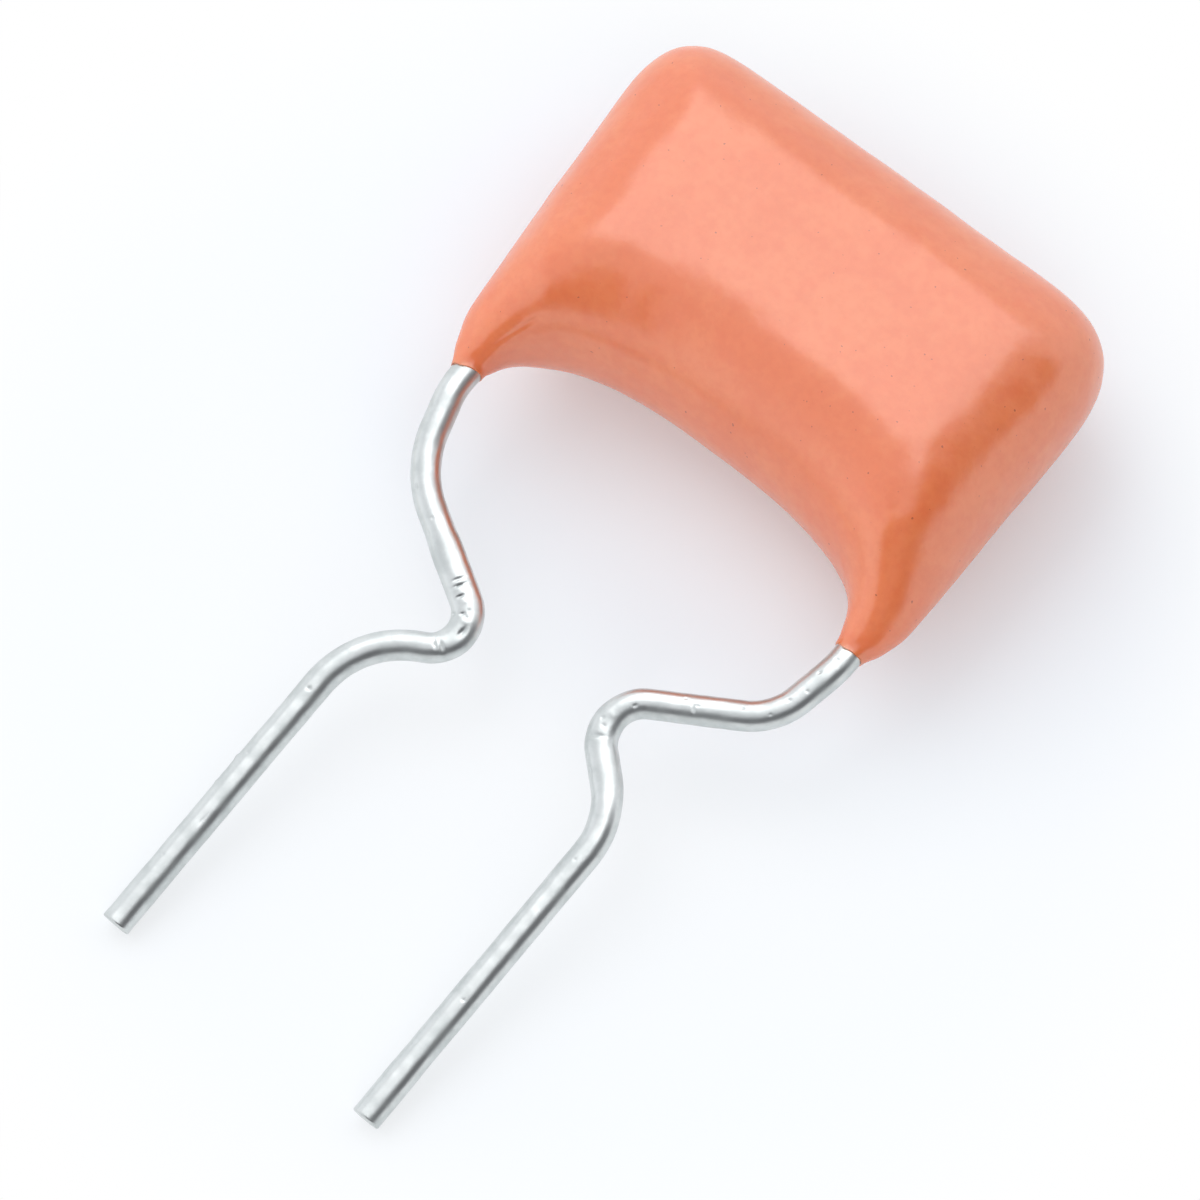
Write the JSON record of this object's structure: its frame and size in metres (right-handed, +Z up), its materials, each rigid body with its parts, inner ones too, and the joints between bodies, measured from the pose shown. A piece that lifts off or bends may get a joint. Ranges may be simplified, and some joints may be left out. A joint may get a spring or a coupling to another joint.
{
  "type": "film capacitor",
  "caption": "Dipped film capacitor with an orange epoxy body and two round wire leads kinked inward to a narrower mounting spacing.",
  "frame": {"origin": "centre of the footprint, on the table that the part lies on", "axes": "+X across the body from the left lead to the right lead, +Y from the lead tips to the crown of the body, +Z up from the table through the flat face"},
  "size_m": [0.0094, 0.0172, 0.004],
  "materials": {
    "epoxy": "dipped glossy orange epoxy with a light orange-peel surface",
    "film": "wound metallised polyester film, pale silvery",
    "sprayed_metal": "rough sprayed zinc",
    "tinned_wire": "tinned wire with small forming marks"
  },
  "bodies": {
    "root": {"epoxy_coating": "epoxy", "film_winding": "film", "end_spray_left": "sprayed_metal", "end_spray_right": "sprayed_metal", "lead_left": "tinned_wire", "lead_right": "tinned_wire"}
  },
  "joints": []
}
